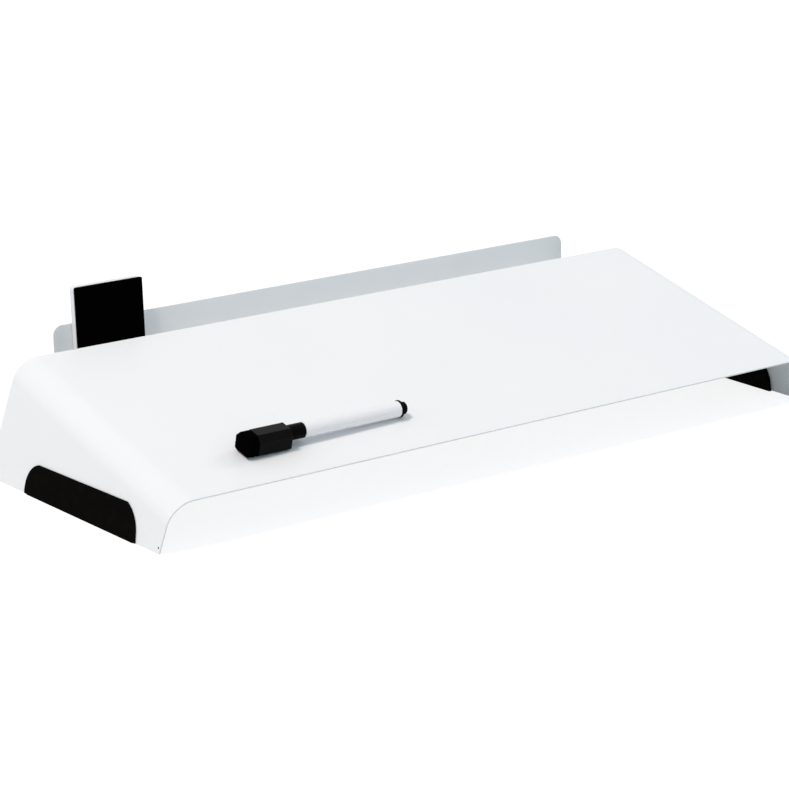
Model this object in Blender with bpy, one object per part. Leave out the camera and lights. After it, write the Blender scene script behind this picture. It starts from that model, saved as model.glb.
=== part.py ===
"""Desktop whiteboard.

One bent steel sheet makes the sloped writing surface, two splayed side legs and a
tray folded along the rear edge. Rubber feet sit in notches of the legs. A magnetic
eraser stands in the tray, and a capped mini marker lies on the board.

X runs along the width, Y from front to back, Z up from the table. The origin is the
centre of the footprint at table height. Sizes are in metres.
"""

import math

import bmesh
import bpy
from mathutils import Matrix, Vector

# Clearances
GAP = 0.0003                # between pieces that touch
CUT = 0.0010                # overrun of a cutter past the face it opens
WELD = 0.000001             # points closer than this are one

# Steel sheet, sizes on its top side
SHEET = 0.0010
FLAT_WIDTH = 0.4662         # flat part between the side bends
SLOPE_LENGTH = 0.1904       # front edge to rear edge, along the slope
SLOPE = math.radians(14.84)
FRONT_HEIGHT = 0.0320       # front edge above the table
SIDE_BEND = 0.0169          # outer radius of the side bends
LEG_SPLAY = math.radians(7.4)
FRONT_RAKE = math.radians(4.0)   # leg edges lean back from square to the slope
REAR_RAKE = math.radians(6.0)
EDGE_LIFT = 0.0003          # bare steel edge above the table
HANG_HOLE = 0.0006          # radius of the hole that the sheet hangs on when coated
HANG_BACK = 0.0006          # hole behind the leg's front lower corner
HANG_UP = 0.0040            # hole above the table

# Tray along the rear edge
TRAY_END = 0.02535          # side bend to the tray's end
TRAY_SLOT = 0.0269          # front wall to back wall
TRAY_DEPTH = 0.0161         # rear edge down to the tray floor
TRAY_RISE = 0.0092          # back wall above the rear edge
TRAY_CORNER = 0.0065        # rounded top corners of the back wall
REAR_FOLD = 0.0015          # outer radius of the fold at the rear edge
FOLD_OVER = 0.0014          # rear edge to where the faces beside the fold would meet
FLOOR_FOLD = 0.0012         # inner radius of the folds at the floor
RELIEF_WIDTH = 0.0012       # slot that frees each end of the fold
RELIEF_DEPTH = 0.0008       # slot past the start of the fold

# Feet, sizes on the outer face of a leg
FOOT_START = 0.0250         # front end behind the leg's front lower corner
FOOT_LENGTH = 0.1314
FOOT_FRONT_HEIGHT = 0.0232   # where the front arc meets the top edge
FOOT_REAR_HEIGHT = 0.0217
FOOT_FRONT_ROUND = 0.0182
FOOT_FRONT_TURN = math.radians(65)   # of the arc, from the ground to the corner at the top edge
FOOT_REAR_ROUND = 0.0214
FOOT_REAR_TURN = math.radians(78)
FOOT_LAP = 0.0030           # flange beyond the core
FOOT_OUTER = 0.0004         # flange thickness outside the leg
FOOT_OUTER_LIFT = 0.0004    # outer flange above the table
FOOT_INNER = 0.0020         # flange thickness inside the leg
FOOT_INNER_INSET = 0.0014   # inner flange smaller than the outer one, all round
FOOT_EASE = 0.0003          # chamfer round each flange

# Eraser
ERASER_SIZE = 0.0496
ERASER_BODY = 0.0055        # thickness of the plate
ERASER_LEFT = 0.0130        # tray's left end to the eraser
ERASER_CORNER = 0.0024
ERASER_BACK_ROUND = 0.0014
ERASER_FELT_CORNER = 0.0005
ERASER_FELT = 0.0020
ERASER_FELT_INSET = 0.0003
DISC_RADIUS = 0.0040
DISC_THICK = 0.0013
DISC_SPACING = 0.0240

# Marker cap, sizes about the marker's axis
CAP_LENGTH = 0.0239
CAP_WIDTH = 0.0156
CAP_HEIGHT = 0.0131
CAP_SEAT = 0.0075           # axis above the cap's flat underside
CAP_TOP_CHAMFER = 0.0036
CAP_BOTTOM_CHAMFER = 0.0013
CAP_END_EASE = 0.0004
CAP_BORE_DEPTH = 0.0155
CAP_SKIN = 0.0006           # wall under the cap's magnet
FELT_LENGTH = 0.0069        # felt beyond the cap
FELT_INSET = 0.0002
FELT_SPIGOT = 0.0016        # felt inside the cap
FELT_SPIGOT_WIDTH = 0.0100
FELT_SPIGOT_HEIGHT = 0.0102
BAR_LENGTH = 0.0097
BAR_WIDTH = 0.0060
BAR_THICK = 0.0015

# Marker body
BARREL_RADIUS = 0.00505
BARREL_WALL = 0.00075
BARREL_LENGTH = 0.0720
COLLAR_RADIUS = 0.00485
COLLAR_LENGTH = 0.01145
NOSE_RADIUS = 0.00375
NOSE_LENGTH = 0.0095
NOSE_CONE = 0.0030
NOSE_TIP_RADIUS = 0.0026
SEAL_RADIUS = 0.00405       # ring that closes the cap
SEAL_WIDTH = 0.0010
SEAL_BACK = 0.0024          # collar to the ring
SPIGOT_LENGTH = 0.0080      # section inside the barrel
NIB_RADIUS = 0.0013
NIB_OUT = 0.0033            # nib beyond the nose
NIB_IN = 0.0040             # nib inside the reservoir
NIB_ROUND = 0.0008
PLUG_FLANGE_RADIUS = 0.0055
PLUG_FLANGE = 0.0011
PLUG_NUB_RADIUS = 0.0040
PLUG_NUB = 0.0039
PLUG_NUB_ROUND = 0.0010
PLUG_SPIGOT = 0.0070

# Where the marker lies, at the open end of its cap
MARKER_LEFT = 0.0830        # right of the flat's left end
MARKER_UP = 0.0344          # along the slope from the front edge
MARKER_TURN = math.radians(1.8)

# Steps of round shapes
BEND_STEPS = 14
FOLD_STEPS = 5
CORNER_STEPS = 6
TURN_STEPS = 32
EASE_STEPS = 3

SIN = math.sin(SLOPE)
COS = math.cos(SLOPE)
LEG_TURN = math.pi / 2 - LEG_SPLAY
REAR_EDGE_Z = FRONT_HEIGHT + SLOPE_LENGTH * SIN


def leg_drop(start, rake, height):
    """Depth below the top side, square to it, at which a leg's edge comes down to height."""
    return (FRONT_HEIGHT - height + start * SIN) / (COS - math.tan(rake) * SIN)


REAR_DROP = leg_drop(SLOPE_LENGTH, REAR_RAKE, EDGE_LIFT)
LEG_BACK_Y = (SLOPE_LENGTH + REAR_DROP * math.tan(REAR_RAKE)) * COS + REAR_DROP * SIN
TRAY_HALF = FLAT_WIDTH / 2 - TRAY_END
TRAY_FRONT_Y = (SLOPE_LENGTH + FOLD_OVER) * COS
TRAY_BACK_Y = TRAY_FRONT_Y + TRAY_SLOT + SHEET
MIDDLE_Y = max(LEG_BACK_Y, TRAY_BACK_Y) / 2


def on_sheet(x, along, drop):
    """World point at x, a distance along the slope and a depth below the top side."""
    y = along * COS + drop * SIN - MIDDLE_Y
    z = FRONT_HEIGHT + along * SIN - drop * COS
    return Vector((x, y, z))


def material(name, colour, roughness, metallic=0.0):
    made = bpy.data.materials.new(name)
    made.use_nodes = True
    shader = made.node_tree.nodes["Principled BSDF"]
    shader.inputs["Base Color"].default_value = (*colour, 1.0)
    shader.inputs["Roughness"].default_value = roughness
    shader.inputs["Metallic"].default_value = metallic
    return made


def finish(name, bm, coat, parent=None, smooth=True):
    """Turn a bmesh into a named object with its own material."""
    bmesh.ops.recalc_face_normals(bm, faces=bm.faces)
    if bm.calc_volume(signed=True) < 0:
        bmesh.ops.reverse_faces(bm, faces=bm.faces)
    mesh = bpy.data.meshes.new(name)
    bm.to_mesh(mesh)
    bm.free()
    piece = bpy.data.objects.new(name, mesh)
    bpy.context.scene.collection.objects.link(piece)
    piece.parent = parent
    if coat:
        mesh.materials.append(coat)
    if smooth:
        mesh.shade_smooth()
        mesh.set_sharp_from_angle(angle=math.radians(30))
    return piece


def holder(name, matrix, parent=None):
    """Empty on the line that a moving group slides along."""
    empty = bpy.data.objects.new(name, None)
    bpy.context.scene.collection.objects.link(empty)
    empty.parent = parent
    empty.matrix_local = matrix
    return empty


def cut(piece, name, bm, parent=None):
    """Take the shape in a bmesh out of a piece."""
    cutter = finish(name, bm, None, parent, smooth=False)
    cutter.hide_render = True
    cutter.display_type = "WIRE"
    step = piece.modifiers.new(name, "BOOLEAN")
    step.operation = "DIFFERENCE"
    step.solver = "EXACT"
    step.object = cutter


def walk(bm, upper, lower):
    """Faces between two matching rows of points."""
    for i in range(len(upper) - 1):
        bm.faces.new((upper[i], upper[i + 1], lower[i + 1], lower[i]))


def arc(centre_x, centre_y, radius, start, end, steps):
    """Points on an arc in a plane, angles in radians."""
    points = []
    for i in range(steps + 1):
        angle = start + (end - start) * i / steps
        points.append((centre_x + radius * math.cos(angle), centre_y + radius * math.sin(angle)))
    return points


class Leg:
    """Flat part of one leg: along its lower edge, up its outer face, and outwards."""

    def __init__(self, side):
        self.side = side
        self.origin = self.edge_point(0, FRONT_RAKE, 0)
        along = self.edge_point(SLOPE_LENGTH, REAR_RAKE, 0) - self.origin
        self.along = along.normalized()
        rise = on_sheet(side * bend_x(LEG_TURN, 0), 0, bend_drop(LEG_TURN, 0)) - self.origin
        self.up = (rise - self.along * rise.dot(self.along)).normalized()
        self.out = self.along.cross(self.up) * side

    def edge_point(self, start, rake, height, offset=0):
        """Where a leg's front or rear edge comes down to a height."""
        drop = leg_drop(start, rake, height)
        run = (drop - bend_drop(LEG_TURN, offset)) / math.tan(LEG_TURN)
        x = bend_x(LEG_TURN, offset) + run
        return on_sheet(self.side * x, start + drop * math.tan(rake), drop)

    def point(self, along, up, out):
        return self.origin + self.along * along + self.up * up + self.out * out

    def ground_point(self, along, height, out):
        """Point at a height above the table, on the plane at a distance out from the face."""
        up = (height - self.out.z * out) / self.up.z
        return self.point(along, up, out)


def bend_x(turn, offset):
    return FLAT_WIDTH / 2 + (SIDE_BEND - offset) * math.sin(turn)


def bend_drop(turn, offset):
    return SIDE_BEND - (SIDE_BEND - offset) * math.cos(turn)


def foot_outline(inset):
    """Outline of a foot from its front to its rear, without the ends on the ground."""
    reach = FOOT_FRONT_ROUND * math.sin(FOOT_FRONT_TURN)
    turn = math.asin((reach - inset) / (FOOT_FRONT_ROUND - inset))
    front = arc(FOOT_START + FOOT_FRONT_ROUND, FOOT_FRONT_HEIGHT - reach,
                FOOT_FRONT_ROUND - inset, math.pi, math.pi - turn, CORNER_STEPS)
    reach = FOOT_REAR_ROUND * math.sin(FOOT_REAR_TURN)
    turn = math.asin((reach - inset) / (FOOT_REAR_ROUND - inset))
    rear = arc(FOOT_START + FOOT_LENGTH - FOOT_REAR_ROUND, FOOT_REAR_HEIGHT - reach,
               FOOT_REAR_ROUND - inset, turn, 0, CORNER_STEPS)
    return front + rear


def foot_row(bm, leg, inset, out, height):
    """Row of points round a foot's outline, starting and ending at a height above the table."""
    row = [bm.verts.new(leg.ground_point(FOOT_START + inset, height, out))]
    row += [bm.verts.new(leg.point(along, up, out)) for along, up in foot_outline(inset)]
    row.append(bm.verts.new(leg.ground_point(FOOT_START + FOOT_LENGTH - inset, height, out)))
    return row


def side_bend(bm, side, offset):
    """Rows of points round a side bend at the front and rear edges of the sheet."""
    front = []
    rear = []
    for i in range(BEND_STEPS + 1):
        turn = LEG_TURN * i / BEND_STEPS
        x = side * bend_x(turn, offset)
        drop = bend_drop(turn, offset)
        front.append(bm.verts.new(on_sheet(x, drop * math.tan(FRONT_RAKE), drop)))
        rear.append(bm.verts.new(on_sheet(x, SLOPE_LENGTH + drop * math.tan(REAR_RAKE), drop)))
    return front, rear


def tray_section():
    """Top-side points of the tray from the rear edge to the back wall, with their headings."""
    fold_turn = math.pi / 2 + SLOPE
    fold_start = SLOPE_LENGTH + FOLD_OVER - REAR_FOLD * math.tan(fold_turn / 2)
    floor_z = REAR_EDGE_Z - TRAY_DEPTH
    back_y = TRAY_FRONT_Y + TRAY_SLOT
    section = []
    for y, z in arc(TRAY_FRONT_Y - REAR_FOLD, on_sheet(0, fold_start, 0).z - REAR_FOLD * COS,
                    REAR_FOLD, math.pi / 2 + SLOPE, 0, 2 * FOLD_STEPS):
        section.append((y, z))
    for y, z in arc(TRAY_FRONT_Y + FLOOR_FOLD, floor_z + FLOOR_FOLD, FLOOR_FOLD,
                    math.pi, 1.5 * math.pi, FOLD_STEPS):
        section.append((y, z))
    for y, z in arc(back_y - FLOOR_FOLD, floor_z + FLOOR_FOLD, FLOOR_FOLD,
                    -math.pi / 2, 0, FOLD_STEPS):
        section.append((y, z))
    headings = []
    for i in range(2 * FOLD_STEPS + 1):
        headings.append(SLOPE - fold_turn * i / (2 * FOLD_STEPS))
    for i in range(FOLD_STEPS + 1):
        headings.append(-math.pi / 2 * (1 - i / FOLD_STEPS))
    for i in range(FOLD_STEPS + 1):
        headings.append(math.pi / 2 * i / FOLD_STEPS)
    return fold_start, [(y - MIDDLE_Y, z, heading) for (y, z), heading in zip(section, headings)]


def board_tray(bm):
    """Tray from the fold at the rear edge to the rounded back wall. Returns the fold's points."""
    fold_start, section = tray_section()
    rows = {}
    for offset in (0, SHEET):
        for side in (-1, 1):
            row = []
            for y, z, heading in section:
                row.append(bm.verts.new((side * TRAY_HALF, y + offset * math.sin(heading),
                                         z - offset * math.cos(heading))))
            rows[offset, side] = row
    for side in (-1, 1):
        walk(bm, rows[0, side], rows[SHEET, side])
    for offset in (0, SHEET):
        walk(bm, rows[offset, -1], rows[offset, 1])
    top = REAR_EDGE_Z + TRAY_RISE
    outline = arc(TRAY_HALF - TRAY_CORNER, top - TRAY_CORNER, TRAY_CORNER,
                  0, math.pi / 2, CORNER_STEPS)
    outline += [(-x, z) for x, z in reversed(outline)]
    faces = []
    for offset in (0, SHEET):
        wall_y = TRAY_FRONT_Y + TRAY_SLOT + offset - MIDDLE_Y
        rim = [bm.verts.new((x, wall_y, z)) for x, z in outline]
        faces.append([rows[offset, 1][-1]] + rim + [rows[offset, -1][-1]])
        bm.faces.new(faces[-1])
    walk(bm, faces[0], faces[1])
    return fold_start, {key: row[0] for key, row in rows.items()}


def board_rear_edge(bm, side, offset, fold_start, fold_point):
    """Points of the flat's rear edge from a side bend to the fold, round the relief slot."""
    outer = side * (TRAY_HALF + RELIEF_WIDTH)
    edge = SLOPE_LENGTH + offset * math.tan(REAR_RAKE)
    slot = fold_start - RELIEF_DEPTH
    points = [
        bm.verts.new(on_sheet(outer, edge, offset)),
        bm.verts.new(on_sheet(outer, slot, offset)),
        bm.verts.new(on_sheet(side * TRAY_HALF, slot, offset)),
    ]
    return points + [fold_point]


def board_leg(bm, side, bends):
    """Flat part of a leg, with the notch that holds its foot."""
    leg = Leg(side)
    outlines = []
    for offset in (0, SHEET):
        front, rear = bends[offset]
        back_corner = bm.verts.new(leg.edge_point(SLOPE_LENGTH, REAR_RAKE, EDGE_LIFT, offset))
        front_corner = bm.verts.new(leg.edge_point(0, FRONT_RAKE, EDGE_LIFT, offset))
        notch = foot_row(bm, leg, FOOT_LAP - GAP, -offset, EDGE_LIFT)
        outlines.append([rear[-1], back_corner] + notch[::-1] + [front_corner, front[-1]])
        bm.faces.new(outlines[-1])
    walk(bm, outlines[0], outlines[1])


def hang_holes(board):
    """Small holes in the front lower corners of the legs."""
    bm = bmesh.new()
    for side in (-1, 1):
        leg = Leg(side)
        middle = leg.point(HANG_BACK, HANG_UP, -SHEET / 2)
        turn = Matrix((leg.along, leg.out.cross(leg.along), leg.out)).transposed().to_4x4()
        bmesh.ops.create_cone(bm, cap_ends=True, segments=TURN_STEPS // 2, radius1=HANG_HOLE,
                              radius2=HANG_HOLE, depth=SHEET + 2 * CUT,
                              matrix=Matrix.Translation(middle) @ turn)
    cut(board, "hang_holes", bm)


def make_board(coat):
    bm = bmesh.new()
    fold_start, fold = board_tray(bm)
    flats = {0: [], SHEET: []}
    edges = {}
    for side in (1, -1):
        bends = {offset: side_bend(bm, side, offset) for offset in (0, SHEET)}
        for end in (0, 1):
            walk(bm, bends[0][end], bends[SHEET][end])
        for offset in (0, SHEET):
            front, rear = bends[offset]
            walk(bm, front, rear)
            back = [rear[0]] + board_rear_edge(bm, side, offset, fold_start, fold[offset, side])
            edges[offset, side] = back
            path = [front[0]] + back
            flats[offset] += path if side == 1 else path[::-1]
        walk(bm, edges[0, side], edges[SHEET, side])
        board_leg(bm, side, bends)
    for offset in (0, SHEET):
        bm.faces.new(flats[offset])
    bm.faces.new((flats[0][0], flats[0][-1], flats[SHEET][-1], flats[SHEET][0]))
    board = finish("board_sheet", bm, coat)
    hang_holes(board)
    return board


def make_foot(name, side, coat):
    """Rubber foot pushed into the notch of a leg, with a flange on each face."""
    leg = Leg(side)
    outside = GAP
    inside = -SHEET - GAP
    inner_face = inside - FOOT_INNER
    layers = [
        (outside + FOOT_OUTER, FOOT_EASE, FOOT_OUTER_LIFT),
        (outside + FOOT_OUTER - FOOT_EASE, 0, FOOT_OUTER_LIFT),
        (outside, 0, FOOT_OUTER_LIFT),
        (outside, FOOT_LAP, 0),
        (inside, FOOT_LAP, 0),
        (inside, FOOT_INNER_INSET, 0),
        (inner_face + FOOT_EASE, FOOT_INNER_INSET, 0),
        (inner_face, FOOT_INNER_INSET + FOOT_EASE, 0),
    ]
    bm = bmesh.new()
    rows = [foot_row(bm, leg, inset, out, height) for out, inset, height in layers]
    for upper, lower in zip(rows, rows[1:]):
        walk(bm, upper, lower)
    bm.faces.new(rows[0])
    bm.faces.new(rows[-1])
    flange = rows[:4]
    for upper, lower in zip(flange, flange[1:]):
        walk(bm, [upper[0], upper[-1]], [lower[0], lower[-1]])
    sole = rows[3:]
    bm.faces.new([row[0] for row in sole] + [row[-1] for row in reversed(sole)])
    return finish(name, bm, coat)


def block(bm, low, high):
    """Box between two corners. Returns its vertices."""
    low = Vector(low)
    high = Vector(high)
    made = bmesh.ops.create_cube(bm, size=1)["verts"]
    bmesh.ops.scale(bm, vec=high - low, verts=made)
    bmesh.ops.translate(bm, vec=(low + high) / 2, verts=made)
    return made


def ease(bm, edges, width, steps=1):
    bmesh.ops.bevel(bm, geom=edges, offset=width, segments=steps, profile=0.5,
                    affect="EDGES", clamp_overlap=True)


def edges_along(bm, axis):
    """Edges that run along one axis."""
    found = []
    for edge in bm.edges:
        run = (edge.verts[1].co - edge.verts[0].co).normalized()
        if abs(run[axis]) > 0.999:
            found.append(edge)
    return found


def edges_on(bm, axis, place):
    """Edges that lie in one plane square to an axis."""
    return [edge for edge in bm.edges if all(abs(v.co[axis] - place) < WELD for v in edge.verts)]


def plate_row(bm, y, inset):
    """Row of points round the eraser's plate, inset all round."""
    half = ERASER_SIZE / 2
    corner = ERASER_CORNER - inset
    reach = half - ERASER_CORNER
    row = []
    for quarter, (side_x, side_z) in enumerate(((1, 1), (-1, 1), (-1, -1), (1, -1))):
        start = quarter * math.pi / 2
        for x, z in arc(side_x * reach, half + side_z * reach, corner,
                        start, start + math.pi / 2, EASE_STEPS):
            row.append(bm.verts.new((x, y, z)))
    return row


def make_eraser(coats):
    """Eraser standing in the tray with its back against the back wall."""
    middle_x = -TRAY_HALF + ERASER_LEFT + ERASER_SIZE / 2
    back_y = TRAY_FRONT_Y + TRAY_SLOT - GAP - MIDDLE_Y
    base_z = REAR_EDGE_Z - TRAY_DEPTH + GAP
    group = holder("eraser_slide", Matrix.Translation((middle_x, back_y, base_z)))
    half = ERASER_SIZE / 2

    bm = bmesh.new()
    rows = [plate_row(bm, -ERASER_BODY, 0)]
    for i in range(EASE_STEPS + 1):
        turn = math.pi / 2 * i / EASE_STEPS
        rows.append(plate_row(bm, -ERASER_BACK_ROUND * (1 - math.sin(turn)),
                              ERASER_BACK_ROUND * (1 - math.cos(turn))))
    for upper, lower in zip(rows, rows[1:]):
        walk(bm, upper + upper[:1], lower + lower[:1])
    bm.faces.new(rows[0])
    bm.faces.new(rows[-1])
    body = finish("eraser_body", bm, coats["eraser_body"], group)

    face_y = -ERASER_BODY
    bm = bmesh.new()
    for side in (-1, 1):
        place = Matrix.Translation((side * DISC_SPACING / 2, face_y, half))
        bmesh.ops.create_cone(bm, cap_ends=True, segments=TURN_STEPS, radius1=DISC_RADIUS + GAP,
                              radius2=DISC_RADIUS + GAP, depth=2 * (DISC_THICK + 2 * GAP),
                              matrix=place @ Matrix.Rotation(math.pi / 2, 4, "X"))
    cut(body, "disc_pockets", bm, group)

    for side, name in ((-1, "eraser_magnet_left"), (1, "eraser_magnet_right")):
        bm = bmesh.new()
        place = Matrix.Translation((side * DISC_SPACING / 2, face_y + GAP + DISC_THICK / 2, half))
        bmesh.ops.create_cone(bm, cap_ends=True, segments=TURN_STEPS, radius1=DISC_RADIUS,
                              radius2=DISC_RADIUS, depth=DISC_THICK,
                              matrix=place @ Matrix.Rotation(math.pi / 2, 4, "X"))
        finish(name, bm, coats[name], group)

    bm = bmesh.new()
    inset = ERASER_FELT_INSET
    felt_y = face_y - GAP
    block(bm, (-half + inset, felt_y - ERASER_FELT, inset), (half - inset, felt_y, ERASER_SIZE - inset))
    ease(bm, edges_along(bm, 1), ERASER_FELT_CORNER, 2)
    finish("eraser_felt", bm, coats["eraser_felt"], group)


def turned(name, profile, coat, parent, bored, steps=TURN_STEPS):
    """Solid turned about the X axis from a profile of places along it and radii."""
    bm = bmesh.new()
    points = [bm.verts.new((x, 0, radius)) for x, radius in profile]
    pairs = list(zip(points, points[1:]))
    if bored:
        pairs.append((points[-1], points[0]))
    chain = [bm.edges.new(pair) for pair in pairs]
    bmesh.ops.spin(bm, geom=points + chain, cent=(0, 0, 0), axis=(1, 0, 0),
                   angle=2 * math.pi, steps=steps, use_merge=True)
    bmesh.ops.remove_doubles(bm, verts=bm.verts, dist=WELD)
    return finish(name, bm, coat, parent)


def prism(bm, outline, start, end):
    """Solid with an outline in Y and Z, from start to end along X."""
    face = bm.faces.new([bm.verts.new((start, y, z)) for y, z in outline])
    grown = bmesh.ops.extrude_face_region(bm, geom=[face])["geom"]
    moved = [item for item in grown if isinstance(item, bmesh.types.BMVert)]
    bmesh.ops.translate(bm, vec=(end - start, 0, 0), verts=moved)


def cap_outline(inset):
    """Square with wide chamfers on top and small ones below, inset all round."""
    half = CAP_WIDTH / 2 - inset
    low = -CAP_SEAT + inset
    high = CAP_HEIGHT - CAP_SEAT - inset
    upper = CAP_TOP_CHAMFER
    lower = CAP_BOTTOM_CHAMFER
    right = [(half - lower, low), (half, low + lower), (half, high - upper), (half - upper, high)]
    return right + [(-y, z) for y, z in reversed(right)]


def make_cap(coats, group):
    """Cap with its bore, the pocket of its magnet and the recess of its felt."""
    bm = bmesh.new()
    prism(bm, cap_outline(0), -CAP_LENGTH, 0)
    ease(bm, edges_on(bm, 0, 0) + edges_on(bm, 0, -CAP_LENGTH), CAP_END_EASE, 2)
    cap = finish("marker_cap", bm, coats["cap"], group)

    bm = bmesh.new()
    bore_end = Matrix.Translation(((CUT - CAP_BORE_DEPTH) / 2, 0, 0))
    bmesh.ops.create_cone(bm, cap_ends=True, segments=TURN_STEPS, radius1=SEAL_RADIUS + GAP,
                          radius2=SEAL_RADIUS + GAP, depth=CAP_BORE_DEPTH + CUT,
                          matrix=bore_end @ Matrix.Rotation(math.pi / 2, 4, "Y"))
    cut(cap, "cap_bore", bm, group)

    recess_end = -CAP_LENGTH + FELT_SPIGOT
    recess_low = -CAP_SEAT + CAP_SKIN
    wide = FELT_SPIGOT_WIDTH / 2
    bm = bmesh.new()
    block(bm, (-CAP_LENGTH - CUT, -wide - GAP, recess_low),
          (recess_end, wide + GAP, recess_low + FELT_SPIGOT_HEIGHT + 2 * GAP))
    cut(cap, "felt_recess", bm, group)

    bar_half = BAR_WIDTH / 2
    pocket_high = recess_low + BAR_THICK + 2 * GAP
    bm = bmesh.new()
    block(bm, (recess_end - CUT, -bar_half - GAP, recess_low),
          (recess_end + BAR_LENGTH + GAP, bar_half + GAP, pocket_high))
    cut(cap, "bar_pocket", bm, group)

    bm = bmesh.new()
    block(bm, (recess_end, -bar_half, recess_low + GAP),
          (recess_end + BAR_LENGTH, bar_half, recess_low + GAP + BAR_THICK))
    finish("cap_magnet", bm, coats["cap_magnet"], group)

    bm = bmesh.new()
    felt_right = -CAP_LENGTH - GAP
    prism(bm, cap_outline(FELT_INSET), felt_right - FELT_LENGTH, felt_right)
    ease(bm, edges_on(bm, 0, felt_right - FELT_LENGTH), CAP_END_EASE)
    felt = finish("cap_felt", bm, coats["cap_felt"], group)
    bm = bmesh.new()
    block(bm, (felt_right - CUT, -wide, recess_low + GAP),
          (recess_end - GAP, wide, recess_low + GAP + FELT_SPIGOT_HEIGHT))
    spigot = finish("felt_spigot", bm, None, group, smooth=False)
    spigot.hide_render = True
    spigot.display_type = "WIRE"
    joined = felt.modifiers.new("felt_spigot", "BOOLEAN")
    joined.operation = "UNION"
    joined.solver = "EXACT"
    joined.object = spigot


def marker_matrix():
    """Place of the marker: its cap and the plug's flange both rest on the board."""
    flange_end = GAP + COLLAR_LENGTH + GAP + BARREL_LENGTH + GAP + PLUG_FLANGE
    tilt = math.atan2(CAP_SEAT - PLUG_FLANGE_RADIUS, flange_end)
    across = Vector((1, 0, 0))
    back = Vector((0, COS, SIN))
    normal = Vector((0, -SIN, COS))
    level = across * math.cos(MARKER_TURN) + back * math.sin(MARKER_TURN)
    axis = level * math.cos(tilt) - normal * math.sin(tilt)
    upward = normal * math.cos(tilt) + level * math.sin(tilt)
    sideways = upward.cross(axis)
    seat = on_sheet(-FLAT_WIDTH / 2 + MARKER_LEFT, MARKER_UP, 0)
    origin = seat + normal * (GAP + CAP_SEAT * math.cos(tilt))
    return Matrix.Translation(origin) @ Matrix((axis, sideways, upward)).transposed().to_4x4()


def make_marker(coats):
    """Marker body: its axis is local X, from the open end of the cap towards the plug."""
    group = holder("marker_lift", marker_matrix())
    cap_group = holder("cap_pull", Matrix.Identity(4), group)
    make_cap(coats, cap_group)

    collar_end = GAP + COLLAR_LENGTH
    spigot_end = collar_end + SPIGOT_LENGTH
    barrel_inner = BARREL_RADIUS - BARREL_WALL
    spigot_radius = barrel_inner - GAP
    nib_hole = NIB_RADIUS + GAP
    nose_end = GAP - NOSE_LENGTH
    ring = GAP - SEAL_BACK
    turned("marker_section", [
        (nose_end, nib_hole),
        (nose_end, NOSE_TIP_RADIUS),
        (nose_end + NOSE_CONE, NOSE_RADIUS),
        (ring - SEAL_WIDTH - (SEAL_RADIUS - NOSE_RADIUS), NOSE_RADIUS),
        (ring - SEAL_WIDTH, SEAL_RADIUS),
        (ring, SEAL_RADIUS),
        (ring + SEAL_RADIUS - NOSE_RADIUS, NOSE_RADIUS),
        (GAP, NOSE_RADIUS),
        (GAP, COLLAR_RADIUS),
        (collar_end, COLLAR_RADIUS),
        (collar_end, spigot_radius),
        (spigot_end, spigot_radius),
        (spigot_end, nib_hole),
    ], coats["section"], group, bored=True)

    barrel_start = collar_end + GAP
    barrel_end = barrel_start + BARREL_LENGTH
    turned("marker_barrel", [
        (barrel_start, barrel_inner),
        (barrel_start, BARREL_RADIUS),
        (barrel_end, BARREL_RADIUS),
        (barrel_end, barrel_inner),
    ], coats["barrel"], group, bored=True)

    flange_start = barrel_end + GAP
    flange_end = flange_start + PLUG_FLANGE
    nub_end = flange_end + PLUG_NUB
    plug_start = flange_start - PLUG_SPIGOT
    nub_round = arc(nub_end - PLUG_NUB_ROUND, PLUG_NUB_RADIUS - PLUG_NUB_ROUND, PLUG_NUB_ROUND,
                    math.pi / 2, 0, EASE_STEPS)
    turned("marker_end_plug", [
        (plug_start, 0),
        (plug_start, spigot_radius),
        (flange_start, spigot_radius),
        (flange_start, PLUG_FLANGE_RADIUS),
        (flange_end, PLUG_FLANGE_RADIUS),
        (flange_end, PLUG_NUB_RADIUS),
    ] + nub_round + [(nub_end, 0)], coats["plug"], group, bored=False)

    fill_start = spigot_end + GAP
    fill_end = plug_start - GAP
    hole_end = fill_start + NIB_IN + GAP
    turned("marker_reservoir", [
        (fill_end, 0),
        (fill_end, spigot_radius),
        (fill_start, spigot_radius),
        (fill_start, nib_hole),
        (hole_end, nib_hole),
        (hole_end, 0),
    ], coats["reservoir"], group, bored=False)

    tip = nose_end - NIB_OUT
    tip_round = arc(tip + NIB_ROUND, NIB_RADIUS - NIB_ROUND, NIB_ROUND,
                    math.pi, math.pi / 2, EASE_STEPS)
    turned("marker_nib", [(tip, 0)] + tip_round + [
        (fill_start + NIB_IN, NIB_RADIUS),
        (fill_start + NIB_IN, 0),
    ], coats["nib"], group, bored=False, steps=TURN_STEPS // 2)


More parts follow.
